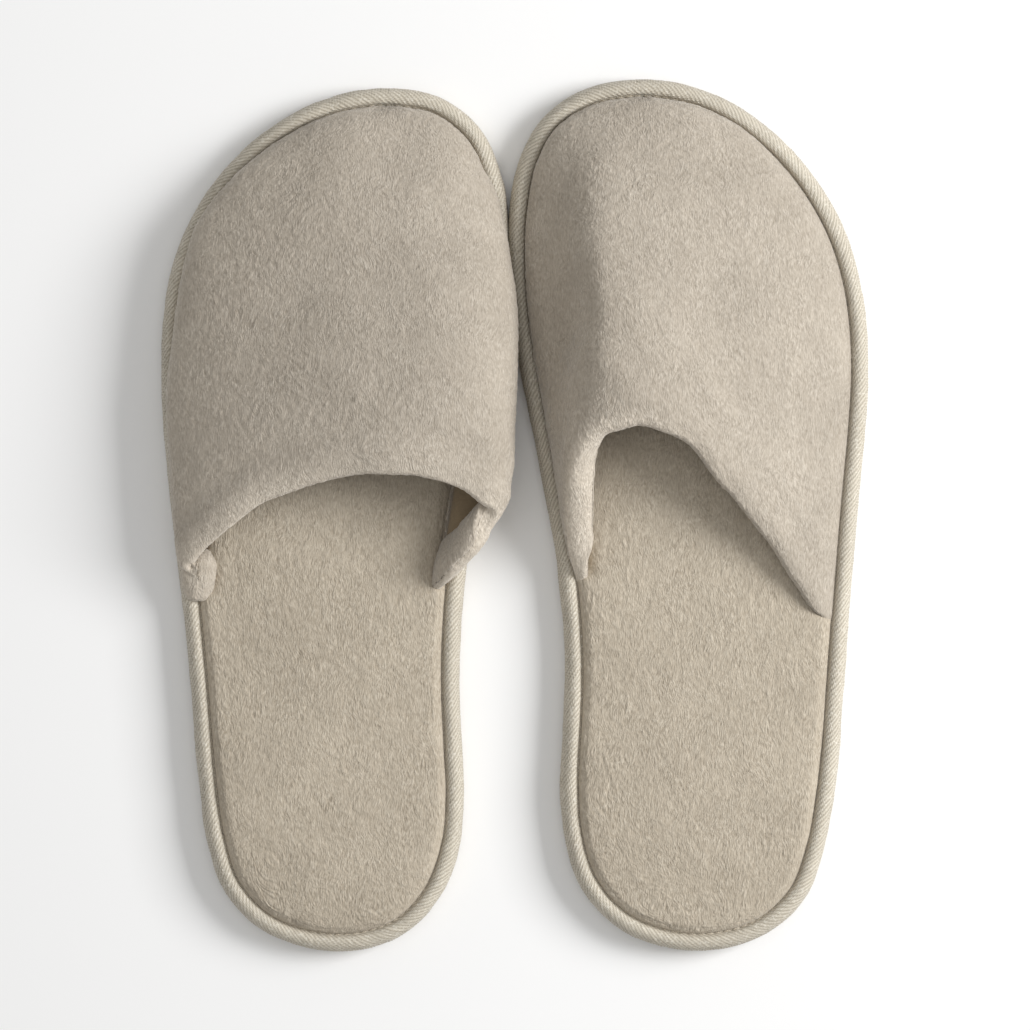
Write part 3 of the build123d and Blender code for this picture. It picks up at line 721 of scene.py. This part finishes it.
for side in SIDES:
    body = f"{side}_slipper"
    seed = 100 if side == "left" else 200
    P, N, hold = build_upper(side)
    rows, cols = P.shape[:2]
    pin = pinch(cols)[None, :, None]
    share = np.linspace(0, 1, cols)
    run = np.linalg.norm(np.diff(P, axis=0), axis=2)
    far = np.vstack([np.cumsum(run[::-1], axis=0)[::-1], np.zeros((1, cols))])
    from_mouth = far[:, cols // 2]
    T, NM = mouth_frame(P, N)
    tip = np.clip(np.minimum(share, 1 - share) / .075, 0, 1)
    tip = .5 + .5 * tip * tip * (3 - 2 * tip)
    depth = np.interp(share, *ROLL[side]) * (tip if side == "left" else np.where(share < .4, tip, pin[0, :, 0] ** .55))
    puffy = np.clip((share - .6) / .15, 0, 1) if side == "left" else np.clip((.4 - share) / .12, 0, 1)
    # the face curves over into the rim, past a shallow hollow at the hem's stitches
    drop0 = depth * (.36 if side == "left" else np.interp(share, [0, .4, .55, 1], [.2, .24, .34, .34]))
    reach = depth * 1.35
    k = np.clip(1 - far / reach[None, :], 0, 1)
    hollow = (.75 if side == "left" else .4) * np.exp(-((far - 14) / 5.0) ** 2) * hold
    near = (np.clip(1 - far / 9, 0, 1))[..., None]
    NB = N * (1 - near) + NM[None] * near
    NB /= np.linalg.norm(NB, axis=2)[..., None]
    N = NB
    face = P - N * (drop0[None, :] * k * k + hollow * pin[0, :, 0][None, :])[..., None]
    a0 = np.arctan(2 * drop0 / reach)
    R = (depth - drop0) / (1 + np.cos(a0))
    roll = []
    steps = 19
    for q in np.linspace(0, 1, steps + 2)[1:-1]:
        a = a0 + (math.pi - a0) * q
        roll.append(face[-1] + T * (R * (np.sin(a) - np.sin(a0)))[:, None] - NM * (R * (np.cos(a0) - np.cos(a)))[:, None])
    facing_rows = [r for r in range(rows - 1, 0, -1) if from_mouth[r] < 12.0]
    # the facing thins from the roll's depth to the wall's
    facing, under = [], []
    for r in facing_rows:
        k = min(1, from_mouth[r] / 12.0)
        f = depth[:, None] * (1 - k) + (6.4 * pin[0]) * k
        edge_round = max(0, (from_mouth[r] - 10.4) / 1.6)
        f = f - (.9 * edge_round ** 2) * pin[0]
        f = f + (2.3 * math.sin(math.pi * k) ** .8 * puffy * tip)[:, None]
        facing.append(P[r] - N[r] * f)
        under.append(P[r] - N[r] * (5.1 * pin[0]))
    outer = [face[r] for r in range(rows)]
    back = [P[r] - N[r] * (2.4 * pin[0]) for r in range(rows - 3, -1, -max(1, rows // 90))]
    loops = outer + roll + facing + [under[-1]] + under[::-4][1:] + back
    L = np.array(loops)
    # pile: short tufts on what shows
    n_show = len(outer) + len(roll) + len(facing)
    flat = L[:n_show].reshape(-1, 3)
    show_n = grid_normals(L[:n_show + 1])[:n_show]
    mid = show_n[rows // 2, cols // 2]
    if mid[2] < 0:
        show_n = -show_n
    t = tufts(flat, seed).reshape(n_show, cols)
    fat = fractal(flat / 6.5, 2, seed + 30).reshape(n_show, cols)
    seam = np.clip((flat[:, 2] - 8.8) / 1.5, 0, 1).reshape(n_show, cols)
    amount = (.30 * t + .08 * fat) * seam
    edge_fade = np.ones(n_show)
    L[:n_show] += show_n * (amount * edge_fade[:, None])[..., None]
    cover = closed_sheet(f"{side}_plush_upper", L, body, PLUSH)
    outward(cover)
    # painted highlight: the pile's colour is lightened where it turns over the rim, a stand-in for the light the
    # rolled rim catches
    painted_rim_highlight = np.zeros((len(L), cols))
    if side == "left":
        highlight_strength = np.interp(share, [0, .1, .5, .8, 1], [.5, .8, .62, .85, .8])
    else:
        highlight_strength = np.interp(share, [0, .1, .3, .42, .6, 1], [.9, 1.0, 1.0, .5, .12, .12])
    painted_rim_highlight[:rows] = np.clip(1 - far / (9.5 if side == "left" else 5.0), 0, 1) ** 1.3 * highlight_strength
    painted_rim_highlight[rows:rows + len(roll)] = highlight_strength
    for j in range(len(facing)):
        painted_rim_highlight[rows + len(roll) + j] = highlight_strength * (.9 if side == "right" else .55) * (1 - .5 * j / len(facing))
    at = cover.data.attributes.new("painted_rim_highlight", "FLOAT", "POINT")
    at.data.foreach_set("value", painted_rim_highlight.ravel().astype(np.float32))
    if side == "left":
        add_tuck(cover, (-103.6, -19.8, 10.6), (5.9, 9.0, 3.9), -10, 140)
    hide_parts(f"{side}_upper_cover")

    # foam between the plush and the lining
    st = max(1, rows // 110)
    sel = list(range(0, rows - 6, st))
    csel = slice(0, cols, max(1, cols // 110))
    foam_rows = [(P[r] - N[r] * (2.55 * pin[0]))[csel] for r in sel] + [(P[r] - N[r] * (4.35 * pin[0]))[csel] for r in sel[::-1]]
    foam = outward(closed_sheet(f"{side}_upper_foam", foam_rows, body, FOAM))
    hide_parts(f"{side}_upper_padding")

    # smooth lining, a little slack
    st = max(1, rows // 160)
    sel = list(range(0, rows - 6, st))
    csel = slice(0, cols, max(1, cols // 150))
    wav = fractal(P.reshape(-1, 3) / 15, 2, seed + 40).reshape(rows, cols)
    lin_rows = [(P[r] - N[r] * ((4.45) * pin[0]))[csel] for r in sel]
    lin_rows += [(P[r] - N[r] * ((5.0 + .3 * wav[r][:, None]) * pin[0]))[csel] for r in sel[::-1]]
    lining = outward(closed_sheet(f"{side}_lining", lin_rows, body, LINING))
    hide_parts(f"{side}_upper_lining")
    # the upper's grid, kept with its normals, pinch and distances from the mouth
    UPPER[side]["grid"] = (P, N, pin, from_mouth)

    # stitches that hold the facing down
    r = int(np.argmin(np.abs(from_mouth - 10.2)))
    path = P[r] - N[r] * (6.2 * pin[0])
    s = length_along(path)
    UPPER[side]["facing_line"] = (path, N[r], s)


# ------------------------------------------------------------ the insole top
def sole_grid(side, inset, rows, cols):
    """Points over the sole inside an inset outline: (rows, cols, 2)."""
    q = outline(side, 3000, inset)[0]
    y1, y0 = q[:, 1].max(), q[:, 1].min()
    a = np.linspace(0, math.pi, rows)
    # evenly spaced in the middle, closer together at both tips
    ys = (y0 + y1) / 2 + (y1 - y0) / 2 * (.55 * np.cos(a) + .45 * (1 - 2 * a / math.pi))
    ys[0], ys[-1] = y1 - 1e-4, y0 + 1e-4
    xl, xr, top, low = spans(side, inset, ys)
    b = np.linspace(0, math.pi, cols)
    t = .5 - .5 * (.35 * np.cos(b) + .65 * (1 - 2 * b / math.pi))
    x = xl[:, None] + (xr - xl)[:, None] * t[None]
    return np.stack([x, ys[:, None].repeat(cols, 1)], -1)


def crown(d, low, high, reach):
    k = np.clip(d / reach, 0, 1)
    return low + (high - low) * np.sqrt(1 - (1 - k) ** 2)


for side in SIDES:
    body = f"{side}_slipper"
    seed = 300 if side == "left" else 400
    rows, cols = ((560, 240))
    XY = sole_grid(side, 5.62, rows, cols)
    flat = XY.reshape(-1, 2)
    d = np.maximum(inside_by(side, flat) - 5.62, 0)
    z = crown(d, 7.6, 10.75, 3.0) + crown(np.maximum(d - 2, 0), 0, 1.5, 32)
    # under the upper's seam the cover lies flat at its edge
    (ax, ay), (bx, by) = UPPER[side]["corner"]
    past = flat[:, 1] - (ay + (by - ay) / (bx - ax) * (flat[:, 0] - ax)) + (2.5 if side == "left" else 3.0)
    m = np.clip(past / 5, 0, 1)
    m = m * m * (3 - 2 * m)
    z = z * (1 - m) + m * (np.where(d < 3.2, 7.3, crown(np.maximum(d - 3.2, 0), 7.3, 10.6, 6)) + crown(np.maximum(d - 5, 0), 0, 1.6, 30))
    P3 = np.column_stack([flat, z])
    soft = fractal(P3 / np.array([30, 38, 30]) + seed, 2, seed + 3)
    z = z + soft * .35 * np.clip(d / 8, 0, 1)
    P3[:, 2] = z
    G = P3.reshape(rows, cols, 3)
    N3 = grid_normals(G)
    if N3[rows // 2, cols // 2, 2] < 0:
        N3 = -N3
    t = tufts(P3, seed).reshape(rows, cols)
    fat = fractal(P3 / 6.0, 2, seed + 30).reshape(rows, cols)
    grow = np.clip(d.reshape(rows, cols) / 1.2, 0, 1)
    G = G + N3 * ((.30 * t + .10 * fat) * grow)[..., None]
    # underside: a hollow over the padding
    rs, cs = np.unique(np.linspace(0, rows - 1, 90).astype(int)), np.unique(np.linspace(0, cols - 1, 50).astype(int))
    top = G.reshape(-1, 3)
    ring_r = np.concatenate([np.zeros(cols, int), np.arange(1, rows - 1), np.full(cols, rows - 1), np.arange(rows - 2, 0, -1)])
    ring_c = np.concatenate([np.arange(cols), np.full(rows - 2, cols - 1), np.arange(cols)[::-1], np.zeros(rows - 2, int)])
    ring = ring_r * cols + ring_c
    under = top.copy()
    dd = inside_by(side, under[:, :2]) - 5.62
    under[:, 2] = np.where(dd < .01, 6.6, 6.2 + np.clip((dd - 3) / 7, 0, 1) * 2.5)
    under[:, 2] = np.minimum(under[:, 2], top[:, 2] - .7)
    n = rows * cols
    f_top = grid_faces(rows, cols)
    f_low = grid_faces(rows, cols, flip=True, start=n)
    k = len(ring)
    nxt = np.roll(ring, -1)
    f_side = np.stack([ring, nxt, nxt + n, ring + n], 1)
    sole = piece(f"{side}_plush_insole", np.vstack([top, under]), [f_top, f_low, f_side], body, PLUSH_SOLE)
    outward(sole)
    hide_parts(f"{side}_insole_cover")
    rows, cols = 120, 60
    XY = sole_grid(side, 6.6, rows, cols)
    flat = XY.reshape(-1, 2)
    d = np.maximum(inside_by(side, flat) - 6.6, 0)
    z = np.minimum(np.where(d < 2.6, 5.85, crown(np.maximum(d - 2.6, 0), 5.85, 8.45, 8)), 8.45)
    top = np.column_stack([flat, z])
    under = np.column_stack([flat, np.full(len(flat), 5.5)])
    n = rows * cols
    ring_r = np.concatenate([np.zeros(cols, int), np.arange(1, rows - 1), np.full(cols, rows - 1), np.arange(rows - 2, 0, -1)])
    ring_c = np.concatenate([np.arange(cols), np.full(rows - 2, cols - 1), np.arange(cols)[::-1], np.zeros(rows - 2, int)])
    ring = ring_r * cols + ring_c
    nxt = np.roll(ring, -1)
    pad = piece(f"{side}_insole_foam", np.vstack([top, under]), [grid_faces(rows, cols), grid_faces(rows, cols, flip=True, start=n), np.stack([ring, nxt, nxt + n, ring + n], 1)], body, FOAM)
    outward(pad)
    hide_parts(f"{side}_insole_padding")

# ----------------------------------------------------------------- the tape
PITCH = 1.8
# the tape's section: (inset from the sole's edge, height, rib share)
TAPE = [(6.3, .42, .2), (5.4, .32, .3), (4.2, .30, .4), (2.8, .32, .6), (1.5, .55, .8), (.55, 1.2, 1), (.12, 2.3, 1), (-.05, 3.7, 1), (-.1, 5.2, 1), (0, 6.7, 1), (.35, 8.0, 1), (1.0, 9.0, 1), (1.95, 9.7, 1), (3.0, 9.98, 1), (3.95, 9.8, 1), (4.6, 9.4, .9), (5.0, 8.8, .5), (5.25, 8.25, .2), (5.6, 8.0, .1), (6.2, 7.95, 0), (6.5, 7.8, 0), (6.42, 7.45, 0), (5.9, 7.3, 0), (4.0, 7.7, 0), (2.2, 7.7, 0), (1.35, 6.2, 0), (1.25, 3.4, 0), (1.9, 1.6, 0), (4.0, 1.25, 0), (6.2, 1.25, 0)]
for side in SIDES:
    body = f"{side}_slipper"
    n = 2300
    p, t, nrm, s, total = outline(side, n)
    ribs = round(total / PITCH)
    sec = catmull(np.array(TAPE), True, 2)
    show = sec[:, 2]
    run = np.concatenate([[0], np.cumsum(np.linalg.norm(np.diff(sec[:, :2], axis=0), axis=1))])
    tang = np.roll(sec[:, :2], -1, 0) - np.roll(sec[:, :2], 1, 0)
    tang /= np.linalg.norm(tang, axis=1)[:, None]
    # outward normal of the section in (inset, height)
    sn = np.stack([-tang[:, 1], tang[:, 0]], 1)
    if sn[8, 0] > 0:
        sn = -sn
    m = len(sec)
    out = np.zeros((n, m, 3))
    uv = np.zeros((n, m, 2))
    seed = 500 if side == "left" else 600
    # the tape isn't laid perfectly evenly
    wob = fractal(np.column_stack([p / 22, np.zeros(n)]), 2, seed)
    puff = fractal(np.column_stack([p / 13, np.full(n, 3.0)]), 2, seed + 1)
    phase = s[:, None] / total * ribs + (run[None, :] - run[16]) * 1.35 / PITCH + .16 * wob[:, None]
    grain = noise(np.stack([phase * .9, (run[None, :] / 1.4).repeat(n, 0), phase * 0], -1).reshape(-1, 3), seed + 7).reshape(n, m)
    phase = phase + .13 * grain
    u = phase - np.floor(phase)
    rib = np.abs(np.sin(np.pi * u)) ** .75          # round ribs, sharp valleys
    each = _hash(np.floor(phase).astype(np.int64), 0, 0, seed + 9)
    h = (rib - .55) * (.5 + .12 * each + .2 * grain) * show[None, :] + puff[:, None] * .18 * show[None, :]
    w = 1 + .03 * wob
    ins = sec[None, :, 0] * 1.0 + sn[None, :, 0] * h + np.where(sec[None, :, 0] > 3, wob[:, None] * .18, 0) * (show[None, :] > 0)
    zz = sec[None, :, 1] + sn[None, :, 1] * h
    zz = np.maximum(zz, .12)
    out[..., :2] = p[:, None] + nrm[:, None] * ins[..., None]
    out[..., 2] = zz
    uv[..., 0] = phase
    uv[..., 1] = run[None, :]
    faces = grid_faces(n, m, wrap_cols=True, wrap_rows=True)
    tape = piece(f"{side}_ribbed_tape", out.reshape(-1, 3), [faces], body, WEAVE, uv=uv.reshape(-1, 2))
    outward(tape)
    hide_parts(f"{side}_binding_tape")
    UPPER[side]["wob"] = wob


# ------------------------------------------------------------------ stitches
def stitches(name, starts, ends, up, width, lift, body, nodes):
    """Short bent runs of thread, each a closed tapered tube."""
    verts, quads, tris = [], [], []
    ring, steps = 6, 5
    for a, b, n in zip(starts, ends, up):
        d = b - a
        k = np.linalg.norm(d)
        d = d / k
        n = n - d * np.dot(n, d)
        n /= np.linalg.norm(n)
        side_v = np.cross(d, n)
        base = len(verts)
        for i in range(steps + 1):
            q = i / steps
            c = a + d * k * q + n * (lift * math.sin(math.pi * q) - .12)
            r = width * (.35 + .65 * math.sin(math.pi * min(max(q, .02), .98)) ** .4)
            for j in range(ring):
                g = 2 * math.pi * j / ring
                verts.append(c + (side_v * math.cos(g) + n * math.sin(g) * .8) * r)
        for i in range(steps):
            for j in range(ring):
                quads.append((base + i * ring + j, base + i * ring + (j + 1) % ring, base + (i + 1) * ring + (j + 1) % ring, base + (i + 1) * ring + j))
        for i, flip in ((0, True), (steps, False)):
            c = len(verts)
            verts.append(np.mean(verts[base + i * ring:base + (i + 1) * ring], axis=0))
            for j in range(ring):
                f = (base + i * ring + j, base + i * ring + (j + 1) % ring, c)
                tris.append(f[::-1] if flip else f)
    ob = piece(name, verts, [np.array(quads), np.array(tris)], body, THREAD)
    outward(ob)
    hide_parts(*nodes)
    return ob


for side in SIDES:
    body = f"{side}_slipper"
    count = 210
    p, t, nrm, s, total = outline(side, count * 4, 5.42)
    a, b = p[0::4], p[3::4]
    zero, one = np.zeros((count, 1)), np.ones((count, 1))
    up = np.column_stack([zero, zero, one])
    stitches(f"{side}_needle_stitches", np.column_stack([a, zero + 8.3]), np.column_stack([b, zero + 8.3]), up, .27, .2, body, [f"{side}_binding_needle_thread"])
    stitches(f"{side}_bobbin_stitches", np.column_stack([a, zero + .34]), np.column_stack([b, zero + .34]), -up, .17, .05, body, [f"{side}_binding_bobbin_thread"])
    path, nn, ss = UPPER[side]["facing_line"]
    inner = (ss > 9) & (ss < ss[-1] - 9)
    cnt = int((ss[-1] - 18) / 3.6)
    at = np.linspace(9, ss[-1] - 9, cnt * 4 + 1)
    q = np.stack([np.interp(at, ss, path[:, c]) for c in range(3)], 1)
    qn = np.stack([np.interp(at, ss, nn[:, c]) for c in range(3)], 1)
    stitches(f"{side}_facing_stitches", q[0:-1:4], q[3::4], -qn[0:-1:4], .24, .15, body, [f"{side}_facing_thread"])

# -------------------------------------------- CAD pieces that keep their shape
for side in SIDES:
    for node, mat in (("outsole", RUBBER), ("insole_backing", BOARD)):
        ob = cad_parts[f"{side}_{node}"]
        ob.data.materials.clear()
        ob.data.materials.append(mat)

# ---------------------------------------------------------- floor and lights
scene = bpy.context.scene
scene.view_settings.view_transform = "Standard"

me = bpy.data.meshes.new("floor")
me.from_pydata([(-3, -3, 0), (3, -3, 0), (3, 3, 0), (-3, 3, 0)], [], [(0, 1, 2, 3)])
floor = bpy.data.objects.new("floor", me)
scene.collection.objects.link(floor)
fm = Nodes("pale_floor")
fm.b.inputs["Base Color"].default_value = (.93, .93, .93, 1)
fm.b.inputs["Roughness"].default_value = .9
fm.b.inputs["Specular IOR Level"].default_value = .1
me.materials.append(fm.m)

world = bpy.data.worlds.new("soft_room")
scene.world = world
world.use_nodes = True
world.node_tree.nodes["Background"].inputs[0].default_value = (1, .995, .98, 1)
world.node_tree.nodes["Background"].inputs[1].default_value = .41


def lamp(name, at, aim, size, power, color=(1, 1, 1)):
    data = bpy.data.lights.new(name, "AREA")
    data.shape = "RECTANGLE"
    data.size, data.size_y = size
    data.energy = power
    data.color = color
    ob = bpy.data.objects.new(name, data)
    scene.collection.objects.link(ob)
    ob.location = at
    d = [aim[i] - at[i] for i in range(3)]
    from mathutils import Vector
    ob.rotation_mode = "QUATERNION"
    ob.rotation_quaternion = Vector(d).to_track_quat("-Z", "Y")
    return ob


lamp("key", (1.36, .29, .91), (0, 0, 0), (.8, .8), 28)
lamp("top", (-.1, .1, 1.9), (0, 0, 0), (1.4, 1.4), 5)

cam = bpy.data.cameras.new("camera")
cam.sensor_width = 36
cam.lens = 36 * 1.5 / (1030 * .33e-3)
cam_ob = bpy.data.objects.new("camera", cam)
cam_ob.location = (.00033, -.00017, 1.505)
scene.collection.objects.link(cam_ob)
scene.camera = cam_ob
